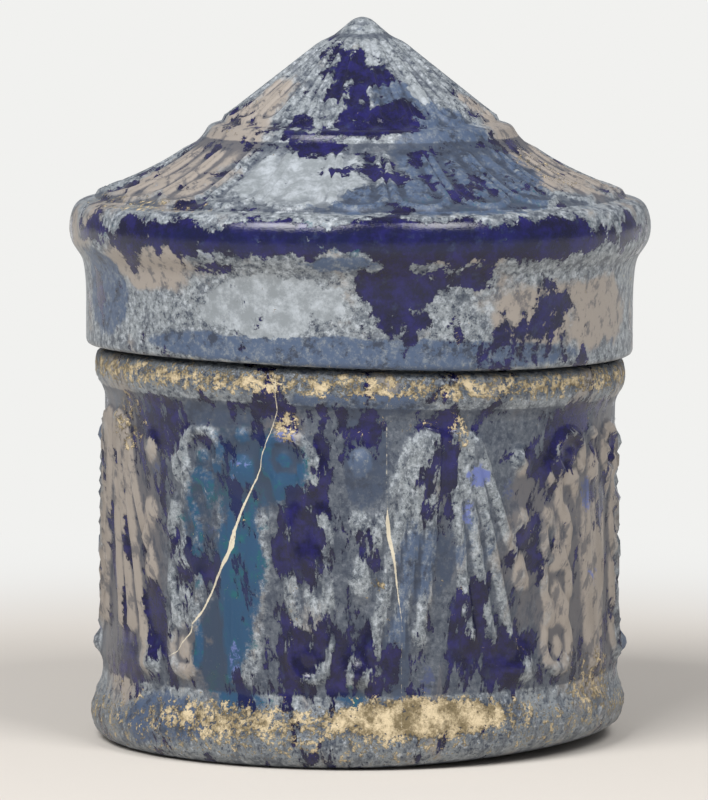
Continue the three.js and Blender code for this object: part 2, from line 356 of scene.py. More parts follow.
def hanging_palmette(across, up):
    """Volutes and a bud above a fluted stem that narrows to the foot, with lobed leaves beside it."""
    side = np.abs(across)
    parts = [
        0.9 * fluted_stem(side, up),
        dome(across, up, 0, 33.6, 1.2, 1.1),  # nub above the bud
        0.95 * dome(across, up, 0, 30.0, 2.2, 2.5),  # bud
        loop(side, up, 4.9, 31.6, 2.4, 2.3, 0.7),  # volute
        0.7 * dome(side, up, 4.6, 31.4, 1.3, 1.2),
        loop(side, up, 7.5, 30.2, 1.1, 1.1, 0.5),  # curl at the volute's end
        dome(side, up, 6.9, 27.4, 1.3, 1.5),  # tips of the leaves
        dome(side, up, 4.1, 27.8, 1.0, 1.5),
    ]
    for middle, reach in LEAF_LOBES:
        parts.append(0.95 * loop(side, up, LEAF_AXIS, middle, 2.0, reach, 0.75))
        parts.append(0.75 * dome(side, up, LEAF_AXIS, middle - 0.6, 1.3, 1.7))
    return np.max(parts, axis=0)


print("lobes of the leaves beside one stem:", 2 * len(LEAF_LOBES))

# %% [markdown]
# The spreading palmette is a fan of leaves that end in knobs, with beads between it and its
# neighbours. The beads are what shows as bumps on the object's silhouette.

# %% The spreading palmette
FAN_LEAVES = [  # the line of each leaf, and its half width
    ([(0.9, 34.2), (1.2, 28), (1.9, 20), (2.7, 14.2)], 0.8),
    ([(1.8, 34.4), (2.6, 28), (3.9, 20), (5.0, 14.0)], 0.85),
    ([(2.6, 34.2), (4.0, 28), (5.9, 20), (7.6, 12.4)], 0.85),
    ([(3.6, 33.6), (5.6, 28), (7.4, 23.2), (8.8, 20.6)], 0.8),
]
LEAF_KNOBS = [(2.8, 13.7, 1.25), (5.1, 13.5, 1.2), (7.7, 11.9, 1.3)]  # across, up, half width
BEAD_AXIS = 8.8
BEAD_HEIGHTS = [31.5, 25.1, 19.4]


def spreading_palmette(across, up):
    """Sheaves of leaves that fan out downwards from a groove to rounded tips, with beads at the edge."""
    side = np.abs(across)
    parts = [ridge(side, up, corners, line) for corners, line in FAN_LEAVES]
    for centre, middle, size in LEAF_KNOBS:
        parts.append(1.25 * dome(side, up, centre, middle, size, size * 1.15))
    for middle in BEAD_HEIGHTS:
        parts.append(1.1 * dome(side, up, BEAD_AXIS, middle, 1.7, 1.9))
    parts.append(1.5 * dome(side, up, BEAD_AXIS, 9.9, 2.6, 2.4))  # leaf tip
    return np.max(parts, axis=0)


print("leaves of one fan:", 2 * len(FAN_LEAVES), "beads:", 2 * len(BEAD_HEIGHTS))

# %% [markdown]
# The two motifs alternate round the wall, and one runs softly into the next. The whole frieze fades
# out just before the foot and the shoulder.

# %% The frieze
FRIEZE_RELIEF = 0.72
HANGING_AXIS = -26.3
SPREADING_AXIS = 18.7
PAIR_PITCH = 90
MOTIF_EDGE = 24.5  # a hanging palmette has run out at this angle from its axis
MOTIF_FADE = 4
END_FADE = 1.5
WALL_MM_PER_DEGREE = math.radians(1) * WALL_RADIUS


def frieze_relief(angle, up):
    """Height of the frieze above the wall in millimetres."""
    from_hanging = off_axis(HANGING_AXIS, angle, PAIR_PITCH)
    from_spreading = off_axis(SPREADING_AXIS, angle, PAIR_PITCH)
    hanging = hanging_palmette(from_hanging * WALL_MM_PER_DEGREE, up)
    spreading = spreading_palmette(from_spreading * WALL_MM_PER_DEGREE, up)
    share = np.clip((MOTIF_EDGE - np.abs(from_hanging)) / MOTIF_FADE, 0, 1)
    ends = np.clip(np.minimum(up - FOOT_TOP, SHOULDER_BOTTOM - up) / END_FADE, 0, 1)
    return FRIEZE_RELIEF * ends * (share * hanging + (1 - share) * spreading)


print("the relief of the frieze is", FRIEZE_RELIEF, "mm high")

# %% [markdown]
# ## Waves and crust
# A hand-finished wall has slow waves, and the foot and the shoulder carry a crust of soil. Real
# geometry shows on the silhouette, which a bump wouldn't. The noise is the same at each run.

# %% Waves and crust
WAVES = [  # height, waves round the wall, start of the wave, millimetres of height for each radian
    (0.07, 2, 0.9, 19),
    (0.05, 5, 0.0, 7),
]
CRUST_HEIGHT = 0.14
CRUST_GRAIN = 0.9
CRUST_NOISE = (0.7, 2.0, 3)  # falloff, step from one octave to the next, octaves


def slow_waves(angle, height):
    """The slight unevenness of a hand-finished wall."""
    turn = np.radians(angle)
    return sum(high * np.sin(count * turn + start + height / climb) for high, count, start, climb in WAVES)


def crust(angle, height):
    """A rough crust of soil."""
    turn = np.radians(angle)
    round_x = WALL_RADIUS * np.cos(turn) / CRUST_GRAIN
    round_y = WALL_RADIUS * np.sin(turn) / CRUST_GRAIN
    places = zip(round_x, round_y, height / CRUST_GRAIN)
    return np.array([noise.fractal(Vector(place), *CRUST_NOISE) for place in places])


print("slow waves:", len(WAVES), "grain of the crust:", CRUST_GRAIN, "mm")

# %% [markdown]
# ## The wall gets its relief
# The outer points of the box move outwards by the frieze, the waves, the crust and a low bulge just
# above the foot, which the silhouette shows at both sides.

# %% Moves of the box, outwards
CLEAR = 0.1  # clears a face, where points are told apart by their place
CRUST_ABOVE_FOOT = 1.5
CRUST_BELOW_SHOULDER = 0.6
LOW_BULGE = 0.35
LOW_BULGE_HEIGHT = 9.3
LOW_BULGE_REACH = 3.4
FULL_RELIEF = 0.55  # counts as fully raised, for the finish
LEVEL_GROUND = 0.6  # how raised the plain parts count as

radius, angle, height = read_points(glass_box)
outside = (radius > COLLAR_RADIUS + CLEAR) & (height > 2 * CLEAR)
in_frieze = outside & (height > FOOT_TOP) & (height < SHOULDER_BOTTOM)
moved = radius.copy()
moved[in_frieze] += frieze_relief(angle[in_frieze], height[in_frieze])
box_raised = np.clip((moved - radius) / FULL_RELIEF, 0, 1)
box_raised[~in_frieze] = LEVEL_GROUND
moved[outside] += slow_waves(angle[outside], height[outside])
near_foot = height < FOOT_TOP + CRUST_ABOVE_FOOT
near_shoulder = (height > SHOULDER_BOTTOM - CRUST_BELOW_SHOULDER) & (height < SEAT_HEIGHT - CLEAR)
crusted = outside & (near_foot | near_shoulder)
moved[crusted] += CRUST_HEIGHT * crust(angle[crusted], height[crusted])
bulge = LOW_BULGE * swell((height[outside] - LOW_BULGE_HEIGHT) / LOW_BULGE_REACH)
moved[outside] += bulge * np.abs(np.sin(np.radians(angle[outside])))
print("the relief stands out by up to", round(float((moved - radius).max()), 2), "mm")

# %% [markdown]
# Then the box gets its uneven seat and its lifted foot. The seat's share of the move grows from the
# foot to the shoulder, and the foot's share fades from the table up to the wall.

# %% Moves of the box, upwards
FOOT_LEVELS = [0, 2.75, 4.2, 6.05, FOOT_TOP]
FOOT_SHARES = [1, 0.9, 0.5, 0.2, 0]
UNDER_THE_FLOOR = 2.0  # the inner floor is above this height

seat_share = np.clip((height - FOOT_TOP) / (SHOULDER_BOTTOM - FOOT_TOP), 0, 1)
foot_share = np.interp(height, FOOT_LEVELS, FOOT_SHARES)
foot_share *= np.clip((radius - HOLLOW_RADIUS) / (STANDING_RADIUS - HOLLOW_RADIUS), 0, 1)
foot_share[(radius < BOX_BORE + CLEAR) & (height > UNDER_THE_FLOOR)] = 0
lifted = height + foot_share * FOOT_LIFT * swell(off_axis(FOOT_LIFT_ANGLE, angle) / FOOT_LIFT_SPREAD)
lifted += seat_share * seat_unevenness(angle) * radius / SKIRT_RADIUS
write_points(glass_box, moved, angle, lifted, FOOT_SHIFT * foot_share)
box_points = (radius, angle, height, outside)
print("the rim reaches", round(float(lifted.max()), 2), "mm")

# %% [markdown]
# ## The relief of the lid
# Two rows of tongues run round the cone: each is a raised outline with a round outer end and a boss
# in a ring near that end. They are drawn over the cone as it is seen from above.

# %% Tongues on the cone
TONGUE_RELIEF = 0.5
TONGUE_PITCH = 15
TONGUE_AXIS = -0.5
TONGUE_WIDTH = 0.82  # as a share of the pitch
TONGUE_LINE = 0.62
LOWER_ROW = (17.2, 27.5, 23.6)  # radius of the inner end, the outer end and the boss
UPPER_ROW = (3.0, 14.3, 12.2)


def tongue_row(angle, radius, inner, outer, boss_radius):
    """Height of one row of tongues, from 0 to 1."""
    across = off_axis(TONGUE_AXIS, angle, TONGUE_PITCH) * np.radians(1) * radius
    half = np.radians(TONGUE_PITCH / 2) * radius * TONGUE_WIDTH
    past_end = np.maximum(radius - (outer - half), 0)
    rise = np.clip((radius - inner) / 1.5, 0, 1)
    border = swell((np.hypot(across, past_end) - half) / TONGUE_LINE) * rise
    pad = 0.45 * swell(np.hypot(across / (half * 0.9), past_end / (half * 0.9))) * rise
    circle = 0.9 * loop(across, radius, 0, boss_radius, half * 0.42, half * 0.55, 0.45) * rise
    boss = 0.9 * dome(across, radius, 0, boss_radius, half * 0.3, half * 0.4) * rise
    return np.max([border, pad, circle, boss], axis=0)


print("tongues in each row:", 360 // TONGUE_PITCH)

# %% [markdown]
# Only the outer face of the cone gets tongues, so the points near the outer line are found first. The
# waves of the lid are those of the box, turned round, and the tip has none.

# %% Moves of the lid
CONE_BOTTOM = 56.7
CONE_SKIN = 0.6  # a point this far below the outer line still counts as outside
LOWER_CONE = (16.6, 28.0)  # from one radius to the other
UPPER_CONE = (2.5, 14.6)
FULL_TONGUE = 0.45  # counts as fully raised, for the finish
BEAD_SKIN = 28.55  # beyond this radius, a point at any height counts as outside
SKIRT_SKIN = 28.0  # the same for the skirt alone
WAVES_FROM = 8.0
WAVES_TURN = 40

radius, angle, height = read_points(glass_lid)
outer_line = lid_line[: np.argmax(lid_line[:, 0])]
outer_height = np.interp(radius, outer_line[:, 0], outer_line[:, 1])
on_top = (height > CONE_BOTTOM) & (height > outer_height - CONE_SKIN)
lower = on_top & (radius > LOWER_CONE[0]) & (radius < LOWER_CONE[1])
upper = on_top & (radius > UPPER_CONE[0]) & (radius < UPPER_CONE[1])
lifted = height.copy()
lifted[lower] += TONGUE_RELIEF * tongue_row(angle[lower], radius[lower], *LOWER_ROW)
lifted[upper] += TONGUE_RELIEF * tongue_row(angle[upper], radius[upper], *UPPER_ROW)
lid_raised = np.clip((lifted - height) / FULL_TONGUE, 0, 1)
lid_raised[~(lower | upper)] = LEVEL_GROUND
outside = on_top | (radius > BEAD_SKIN) | ((height < SKIRT_TOP + 1) & (radius > SKIRT_SKIN))
wavy = outside & (radius > WAVES_FROM)
moved = radius + np.where(wavy, slow_waves(angle + WAVES_TURN, height), 0)
edge_share = np.clip((SKIRT_TOP - height) / (SKIRT_TOP - LID_EDGE - EDGE_ROUNDING), 0, 1)
lifted += edge_share * seat_unevenness(angle) * radius / SKIRT_RADIUS
tip_share = np.clip((height - LEDGE_TOP) / (TIP_HEIGHT - LEDGE_TOP), 0, 1)
write_points(glass_lid, moved, angle, lifted, TIP_SHIFT * tip_share)
lid_points = (radius, angle, height, outside)
print("the lid reaches", round(float(lifted.max()), 2), "mm")

# %% [markdown]
# ## Where each film lies
# The weathering isn't even. Silver and tan films cover most of the glass, bare cobalt shows where
# they flaked off, and soil stays in the corners. An artist would paint masks by hand. Here each
# mask is a few soft patches at chosen places, kept as an attribute that the finish reads, and noise
# in the finish makes their edges ragged. Each patch is an angle, a height, half its width in
# degrees, half its height, and its strength.


# %% Soft patches
def patches(angle, height, places, mean=0.0):
    """The mean and the soft patches, added up."""
    total = np.full(angle.shape, mean)
    for centre, middle, half_width, half_height, strength in places:
        away = np.hypot(off_axis(centre, angle) / half_width, (height - middle) / half_height)
        total += strength * np.clip(1.5 * swell(away * 0.8), 0, 1)
    return total


# %% [markdown]
# On the box, the glass is bare above the foot, beside the middle and under the shoulder. The hanging
# palmette left of the middle is teal, smooth slate-blue runs down the middle, and both sides are
# tan. Soil sits on the foot and the shoulder.

# %% Patches of the box
BOX_PATCHES = {
    "bare": [
        (-6, 11.5, 15, 5.0, 0.26), (30, 11.8, 17, 4.2, 0.26), (-11, 22.6, 6, 4.2, 0.26),
        (1, 23.0, 4.5, 3.4, 0.2), (26, 18.2, 5, 2.6, 0.22), (36, 31.6, 8, 1.7, 0.3),
        (20, 31.2, 2.2, 4.5, 0.3), (-55, 13, 14, 9, 0.1), (44, 23, 10, 4, 0.12),
        (14, 34.5, 7, 1.6, 0.2), (-62, 25, 7, 6, 0.08), (150, 20, 40, 9, 0.12), (-140, 14, 35, 7, 0.14),
    ],
    "tan": [
        (-66, 22, 22, 20, 0.8), (68, 22, 22, 20, 0.8), (-17, 34.5, 6, 3, 0.5), (48, 20, 16, 14, 0.45),
        (180, 22, 60, 20, 0.5), (-40, 10, 10, 5, 0.35),
    ],
    "teal": [
        (-27, 20, 8, 10, 0.95), (-27, 31, 13, 5, 0.75), (-17, 30, 8, 5, 0.8), (-33, 12, 9, 6, 0.8),
        (-38, 24, 6, 8, 0.6), (-26, 6.5, 8, 2.5, 0.7), (-2, 7.4, 5, 1.6, 0.7), (120, 22, 14, 12, 0.5),
    ],
    "slate": [
        (1, 33, 6, 7, 0.95), (8, 11.6, 4, 5.5, 0.9), (-1, 37.4, 26, 1.4, 0.6), (14, 22, 8, 8, 0.45),
        (-32, 35.5, 20, 2, 0.5), (-48, 4, 20, 4, 0.6), (26, 23, 10, 5, 0.3), (-100, 25, 20, 12, 0.6),
        (100, 10, 25, 8, 0.4),
    ],
    "violet": [
        (26, 30, 4, 1.8, 1.0), (24, 26.4, 2, 1.6, 0.8), (34, 28.8, 4, 1.4, 0.8), (60, 27, 4, 2.6, 1.0),
        (-51, 29.4, 3, 1.6, 0.9), (-34, 24, 2, 1.4, 0.9), (-16, 33.4, 4, 1.4, 0.9),
        (-28, 10.8, 2.4, 2.6, 0.8), (14, 9.2, 5, 1.8, 0.8), (62, 18.8, 4, 2, 0.7), (-27, 31, 5, 3.4, 0.5),
        (-90, 12, 6, 3, 0.8), (140, 29, 6, 2, 0.9), (-160, 24, 5, 3, 0.8),
    ],
    "silver": [],
    "soil": [
        (-16, 34.8, 4, 2.2, 0.34), (22, 34.8, 3, 2.6, 0.3), (10, 35.5, 9, 1.2, 0.14),
        (14, 5.6, 26, 2.6, 0.42), (-30, 5.2, 22, 2.2, 0.2), (4, 19.6, 2.2, 1.0, 0.42),
        (-62, 34, 9, 4, 0.25), (62, 8, 14, 4, 0.22), (-14, 16.6, 3, 1.6, 0.2), (36, 12.4, 3, 1, 0.22),
        (170, 6, 50, 3, 0.3), (-120, 35, 30, 2, 0.2),
    ],
}
BOX_MEANS = {"tan": 0.2, "slate": 0.1, "soil": 0.3}
print("patches on the box:", sum(len(places) for places in BOX_PATCHES.values()))

# %% [markdown]
# On the lid, the glass is bare at the front of the upper cone, along the bead and on the skirt. A
# silver flake lies on the lower cone and another on the skirt, whose edge is slate-blue.

# %% Patches of the lid
LID_PATCHES = {
    "bare": [
        (3, 68.2, 34, 4.6, 0.34), (7, 49.6, 12, 2.8, 0.5), (25, 50.2, 5, 1.8, 0.34),
        (0, 54.4, 95, 2.4, 0.42), (-22, 47, 9, 3, 0.2), (38, 53.5, 40, 1.8, 0.2),
        (26, 60.5, 26, 2.8, 0.14), (45, 46, 20, 3, 0.08), (-30, 51.4, 8, 0.8, 0.2), (160, 62, 40, 4, 0.2),
    ],
    "tan": [
        (-58, 63, 26, 7, 0.75), (72, 62, 26, 6, 0.8), (-48, 51.5, 15, 3.6, 0.9), (52, 46.5, 30, 4, 0.8),
        (-80, 54, 22, 3, 0.5), (170, 50, 50, 8, 0.6), (18, 53.0, 12, 1.4, 0.5), (-62, 58.5, 20, 2, 0.3),
    ],
    "teal": [(0, 54.6, 80, 2.4, 0.5), (30, 58, 30, 1.4, 0.35), (-120, 60, 25, 5, 0.4)],
    "slate": [
        (36, 62, 28, 5.5, 0.95), (-66, 47.5, 12, 5.5, 0.95), (10, 42.6, 50, 2.0, 0.95),
        (-30, 42.8, 28, 1.8, 0.7), (14, 58.2, 34, 1.6, 0.7), (100, 46, 24, 6, 0.5),
        (-4, 52.0, 12, 1.0, 0.5), (20, 68, 20, 3, 0.4),
    ],
    "violet": [
        (-30, 53.4, 9, 1.6, 0.5), (20, 50.5, 4, 1.6, 0.5), (-52, 49, 4, 2, 0.4), (120, 60, 14, 3, 0.6),
    ],
    "silver": [
        (-17, 60.2, 22, 3.0, 1.0), (-20, 47.4, 18, 4.4, 1.0), (12, 72, 14, 2, 0.5), (34, 68, 6, 1.4, 0.6),
        (-150, 62, 30, 5, 0.9),
    ],
    "soil": [
        (-60, 57.2, 40, 0.8, 0.24), (66, 60.4, 14, 3, 0.22), (80, 50, 14, 4, 0.12), (-62, 66, 20, 5, 0.1),
        (24, 44, 10, 1.6, 0.14),
    ],
}
LID_MEANS = {"tan": 0.15, "slate": 0.15, "soil": 0.26}
print("patches on the lid:", sum(len(places) for places in LID_PATCHES.values()))

# %% [markdown]
# ## Cracks in the wall
# Two cracks run down the wall, filled with pale soil. Each is a course of heights and angles with a
# width that changes along it. The signed distance from a crack changes evenly across it, so it stays
# sharp in the finish although the crack is narrower than the distance between two points.

# %% Courses of the cracks
LONG_CRACK = [
    (10, -47), (11.6, -43), (14, -39), (16.8, -35), (19.6, -32), (22, -28.8), (24, -28), (27.2, -25.2),
    (29.6, -22.5), (33.6, -20), (36.4, -18),
]
LONG_CRACK_WIDTH = [
    (10, 0), (12, 0.08), (19, 0.13), (22.6, 0.32), (24, 0.17), (27, 0.12), (30, 0.07), (36.4, 0.03),
]
SHORT_CRACK = [(14.8, 9), (18, 8.2), (21.2, 7.5), (24, 6.2), (26.2, 5.8)]
SHORT_CRACK_WIDTH = [(14.8, 0), (20, 0.09), (23, 0.19), (26, 0.22), (26.3, 0)]
CRACK_REACH = 2  # further away than this, no crack is near


def along_course(height, course):
    """The value that a course of (height, value) has at each height."""
    levels, values = zip(*course)
    return np.interp(height, levels, values)


def crack_marks(angle, height):
    """Signed distance from the nearer crack in millimetres, and half the width of that crack there."""
    to_long = (angle - along_course(height, LONG_CRACK)) * math.radians(1) * WALL_RADIUS
    to_short = (angle - along_course(height, SHORT_CRACK)) * math.radians(1) * WALL_RADIUS
    near_long = np.abs(to_long) < np.abs(to_short)
    nearest = np.where(near_long, to_long, to_short)
    long_width = along_course(height, LONG_CRACK_WIDTH)
    width = np.where(near_long, long_width, along_course(height, SHORT_CRACK_WIDTH))
    return nearest, np.where(np.abs(nearest) > CRACK_REACH, -1, width)


print("the long crack is", LONG_CRACK[-1][0] - LONG_CRACK[0][0], "mm high")

# %% [markdown]
# ## Storing the masks
# Point attributes carry the masks to the finish. One more attribute, the grain, is each point's
# place squeezed in height and leaned to the sides, so that a noise that reads it runs in streaks.


# %% Storing attributes
def keep_attribute(piece, name, values):
    """Stores one number for each point of a piece."""
    layer = piece.data.attributes.new(name, "FLOAT", "POINT")
    layer.data.foreach_set("value", np.asarray(values, np.float32))


def keep_patches(piece, points, places, means):
    """Stores the masks that are patches alone."""
    _, angle, height, _ = points
    for name in ("tan", "teal", "slate", "violet", "silver"):
        keep_attribute(piece, name, patches(angle, height, places[name], means.get(name, 0.0)))


def keep_grain(piece, points, flatten, lean):
    """Stores the place of each point in millimetres, squeezed in height and leaned to the sides."""
    radius, angle, height, _ = points
    turn = np.radians(angle + lean * np.sin(np.radians(angle)) * (height - 20))
    place = np.stack([radius * np.sin(turn), -radius * np.cos(turn), height * flatten], axis=1)
    layer = piece.data.attributes.new("grain", "FLOAT_VECTOR", "POINT")
    layer.data.foreach_set("vector", place.astype(np.float32).ravel())


# %% [markdown]
# The cover says how much film there is: less where the glass is bare, more on the foot and the
# shoulder. Soil gathers at the same two places.

# %% Masks of the box
BOX_COVER = 0.57
COVER_ON = {"foot": 0.15, "shoulder": 0.1}
SOIL_ON = {"foot": 0.24, "shoulder": 0.36}
FOOT_BAND = (3.4, 5.2)  # middle and half height
SHOULDER_BAND = (39.2, 2.6)

radius, angle, height, outside = box_points
foot = swell((height - FOOT_BAND[0]) / FOOT_BAND[1])
shoulder = swell((height - SHOULDER_BAND[0]) / SHOULDER_BAND[1])
bare = patches(angle, height, BOX_PATCHES["bare"])
soil = patches(angle, height, BOX_PATCHES["soil"], BOX_MEANS["soil"])
to_crack, crack_width = crack_marks(angle, height)
keep_patches(glass_box, box_points, BOX_PATCHES, BOX_MEANS)
cover = BOX_COVER - bare + COVER_ON["foot"] * foot + COVER_ON["shoulder"] * shoulder
keep_attribute(glass_box, "cover", cover)
keep_attribute(glass_box, "soil", soil + SOIL_ON["shoulder"] * shoulder + SOIL_ON["foot"] * foot)
keep_attribute(glass_box, "hidden", np.where(outside, 0, 1))
keep_attribute(glass_box, "crack", to_crack)
keep_attribute(glass_box, "crack_width", np.where(outside, crack_width, -1))
keep_attribute(glass_box, "raised", box_raised)
keep_grain(glass_box, box_points, flatten=0.4, lean=-0.85)
print("masks of the box:", len(glass_box.data.attributes))

# %% [markdown]
# The lid has no crack, so its distance is zero and its width is less than nothing. Its streaks are
# shorter than those of the wall.

# %% Masks of the lid
LID_COVER = 0.6
EDGE_SOIL = 0.16
EDGE_SOIL_REACH = 0.9

radius, angle, height, outside = lid_points
bare = patches(angle, height, LID_PATCHES["bare"])
soil = patches(angle, height, LID_PATCHES["soil"], LID_MEANS["soil"])
keep_patches(glass_lid, lid_points, LID_PATCHES, LID_MEANS)
keep_attribute(glass_lid, "cover", LID_COVER - bare)
keep_attribute(glass_lid, "soil", soil + EDGE_SOIL * swell((height - LID_EDGE) / EDGE_SOIL_REACH))
keep_attribute(glass_lid, "hidden", np.where(outside, 0, 1))
keep_attribute(glass_lid, "crack", 0 * angle)
keep_attribute(glass_lid, "crack_width", 0 * angle - 1)
keep_attribute(glass_lid, "raised", lid_raised)
keep_grain(glass_lid, lid_points, flatten=0.75, lean=-0.4)
print("masks of the lid:", len(glass_lid.data.attributes))

# %% [markdown]
# ## The finish
# The glass is deep cobalt blue, coloured through. Its weathered skin is made of very thin layers of
# silica: silver-grey where it is whole, tan or slate blue where soil has stained it, and teal or
# violet where light interferes in it. The colours are written as sRGB hex values, as a colour picker
# gives them, and one function turns them to the linear values that the shader works with.

# %% Colours
COBALT_DEEP = "#121230"
COBALT = "#201d5a"
COBALT_GLOW = "#0e1c4a"
SILVER_FILM = "#b4bac0"
GREY_FILM = "#858b8f"
DARK_FILM_AND_GROOVE_SHADE = "#343c4c"
# the dark film colour, also used as painted shade in the grooves of the relief
STEEL_FILM = "#5e656d"
TAN_FILM = "#9d948b"
SLATE_FILM = "#4a5a74"
TEAL_FILM = "#22496a"
EMERALD_FILM = "#165a63"
VIOLET_FILM = "#6874ac"
CREAM_SOIL = "#d9c6a2"
BROWN_SOIL = "#77694c"
CRACK_FILL = "#d6ccb6"


def linear(code):
    """An sRGB hex colour as linear red, green, blue and alpha."""
    parts = [int(code[place : place + 2], 16) / 255 for place in (1, 3, 5)]
    return [part / 12.92 if part <= 0.04045 else ((part + 0.055) / 1.055) ** 2.4 for part in parts] + [1.0]


print("deep cobalt is", [round(part, 3) for part in linear(COBALT_DEEP)], "in linear values")

# %% [markdown]
# A shader is a tree of nodes. One function adds a node with its settings, and links or sets its
# inputs, and everything below is made with it.


# %% Adding a node
def add_node(tree, kind, inputs=None, **settings):
    """Adds one node, with its settings, and with values or links in its inputs."""
    made = tree.nodes.new(kind)
    for name, value in settings.items():
        setattr(made, name, value)
    for name, value in (inputs or {}).items():
        if isinstance(value, bpy.types.NodeSocket):
            tree.links.new(value, made.inputs[name])
        else:
            made.inputs[name].default_value = value
    return made


# %% [markdown]
# ## Patterns
# Six noises break up the masks. Each has the real size of what it draws, in millimetres: islands of
# 24 mm, flakes of a few millimetres, clouds of 2 mm, and a speckle under 1 mm. Those that read the
# grain run in streaks, and the others read the Object coordinates.

# %% Masks and patterns of the finish
MASKS = ["cover", "tan", "teal", "slate", "violet", "silver", "soil"]
MASKS += ["hidden", "crack", "crack_width", "raised"]
PATTERNS = {  # what it reads, size in millimetres, detail, roughness
    "flakes": ("grain", None, 8.0, 0.7),  # each piece of glass gives its own size
    "clouds": ("place", 2.0, 6.0, 0.78),
    "speckle": ("place", 0.7, 4.0, 0.8),
    "stains": ("grain", 5.0, 6.0, 0.65),
    "islands": ("place", 24.0, 2.0, 0.5),
    "streaks": ("grain", 1.3, 5.0, 0.7),
}


def read_masks_and_patterns(tree, flake_size):
    """The outputs of the masks and the patterns, by name."""
    value = {}
    for mask in MASKS:
        value[mask] = add_node(tree, "ShaderNodeAttribute", attribute_name=mask).outputs["Fac"]
    value["grain"] = add_node(tree, "ShaderNodeAttribute", attribute_name="grain").outputs["Vector"]
    metres = add_node(tree, "ShaderNodeTexCoord").outputs["Object"]
    in_mm = {0: metres, 3: 1 / MM}
    value["place"] = add_node(tree, "ShaderNodeVectorMath", in_mm, operation="SCALE").outputs[0]
    for name, (vector, size, detail, roughness) in PATTERNS.items():
        scale = 1 / (size or flake_size)
        inputs = {"Vector": value[vector], "Scale": scale, "Detail": detail, "Roughness": roughness}
        value[name] = add_node(tree, "ShaderNodeTexNoise", inputs).outputs[0]
    inputs = {0: value["crack"]}
    value["from crack"] = add_node(tree, "ShaderNodeMath", inputs, operation="ABSOLUTE").outputs[0]
    return value


print("masks:", len(MASKS), "patterns:", len(PATTERNS))


# %% [markdown]
# ## Ragged masks
# Every mask is worked out by the same two steps. A sum multiplies its first value by the second and
# adds the third: the swing of a pattern about its mean, on top of a mask, makes the mask ragged. An
# edge turns a value into a smooth step between two levels: close levels give the sharp line of a
# flake, and wide ones give a stain.

# %% Sums and edges of the masks
RAGGED_MASKS = [
    # how far each pattern is from its mean
    ("sum", "flakes swing", "flakes", 1, -0.5),
    ("sum", "clouds swing", "clouds", 1, -0.5),
    ("sum", "speckle swing", "speckle", 1, -0.5),
    ("sum", "stains swing", "stains", 1, -0.5),
    ("sum", "islands swing", "islands", 1, -0.5),
    # the film, which ends in a sharp ragged line, and the thin dark line along it
    ("sum", "ragged cover", "flakes swing", 2.6, "cover"),
    ("sum", "cover in islands", "islands swing", 0.4, "ragged cover"),
    ("sum", "cover on crests", "raised", 0.2, "cover in islands"),
    ("sum", "whole cover", "silver", 0.12, "cover on crests"),
    ("edge", "film", "whole cover", 0.48, 0.52),
    ("edge", "outer edge", "whole cover", 0.46, 0.5),
    ("edge", "inner edge", "whole cover", 0.52, 0.6),
    ("sum", "between edges", "inner edge", -1, "outer edge"),
    ("sum", "flake edge", "between edges", 0.25, 0),
    # bare glass
    ("edge", "bright cobalt", "clouds", 0.4, 0.65),
    ("sum", "stained teal", "stains swing", 0.5, "teal"),
    ("edge", "glowing cobalt", "stained teal", 0.3, 0.9),
    ("edge", "streaks of veil", "streaks", 0.55, 0.75),
    ("sum", "veil", "streaks of veil", 0.3, 0),
    # tones of the grey film
    ("edge", "grey clouds", "clouds", 0.38, 0.56),
    ("edge", "pale speckle", "speckle", 0.47, 0.68),
    ("edge", "dark speckle", "speckle", 0.46, 0.36),
    ("edge", "narrow streaks", "streaks", 0.52, 0.62),
    ("sum", "dark streaks", "narrow streaks", 0.6, 0),
    ("edge", "light clouds", "clouds", 0.4, 0.7),
    # films of other colours
    ("sum", "ragged tan", "stains swing", 2.2, "tan"),
    ("edge", "tan film", "ragged tan", 0.3, 0.7),
    ("edge", "slate speckle", "speckle", 0.45, 0.75),
    ("edge", "slate clouds", "clouds", 0.5, 0.38),
    ("sum", "ragged slate", "flakes swing", 2.0, "slate"),
    ("edge", "slate film", "ragged slate", 0.42, 0.62),
    ("edge", "emerald clouds", "clouds", 0.52, 0.66),
    ("edge", "teal speckle", "speckle", 0.62, 0.8),
    ("sum", "ragged teal", "clouds swing", 2.0, "teal"),
    ("edge", "teal film", "ragged teal", 0.35, 0.7),
    ("sum", "ragged silver", "flakes swing", 2.2, "silver"),
    ("edge", "silver film", "ragged silver", 0.4, 0.46),
    ("sum", "ragged violet", "clouds swing", 3.4, "violet"),
    ("edge", "violet film", "ragged violet", 0.62, 0.95),
    # painted shade in the grooves of the relief, but not under a silver flake
    ("sum", "ragged relief", "clouds swing", 0.8, "raised"),
    ("edge", "low relief", "ragged relief", 0.5, 0.12),
    ("sum", "low and dull", "silver", -1, "low relief"),
    ("sum", "painted groove shade", "low and dull", 0.72, 0),
    # soil
    ("sum", "speckled soil", "speckle swing", 1.9, "soil"),
    ("sum", "clouded soil", "clouds swing", 2.0, "soil"),
    ("edge", "soil grains", "speckled soil", 0.54, 0.62),
    ("edge", "soil patches", "clouded soil", 0.42, 0.54),
    ("sum", "soil cover", "soil grains", "soil patches", 0),
    ("edge", "cream clouds", "clouds", 0.4, 0.62),
    # the inside, and the cracks
    ("sum", "even inside", "hidden", 0.75, 0),
    ("sum", "into crack", "from crack", -1, "crack_width"),
    ("sum", "ragged crack", "speckle swing", 0.25, "into crack"),
    ("edge", "crack fill", "ragged crack", -0.02, 0.03),
]


